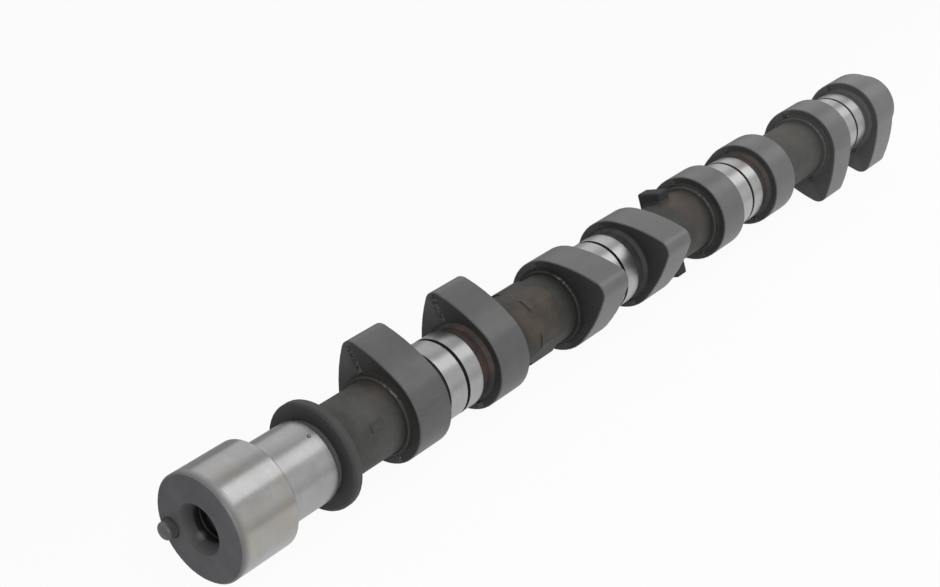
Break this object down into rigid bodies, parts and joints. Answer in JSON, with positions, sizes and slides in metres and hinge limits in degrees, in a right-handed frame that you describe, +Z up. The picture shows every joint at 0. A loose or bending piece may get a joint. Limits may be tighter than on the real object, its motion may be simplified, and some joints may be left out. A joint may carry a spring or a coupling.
{
  "type": "camshaft",
  "caption": "Cast camshaft with pairs of cam lobes astride grooved bearing journals, a ground nose with bolt hole and dowel pin, a thrust collar and cast sensor lugs.",
  "frame": {"origin": "on the shaft's axis, in the plane of the flat nose face", "axes": "+X along the axis from the nose to the tail, +Z up with the shaft lying as it comes to rest on its lobes, +Y across it"},
  "size_m": [0.4271, 0.0396, 0.0396],
  "materials": {
    "camshaft": "dark as-cast core, satin ground lobes and bright ground nose and journals",
    "dowel_pin": "hardened and blackened pin with a dull sheen"
  },
  "bodies": {
    "root": {"camshaft": "camshaft", "dowel_pin": "dowel_pin"}
  },
  "joints": []
}
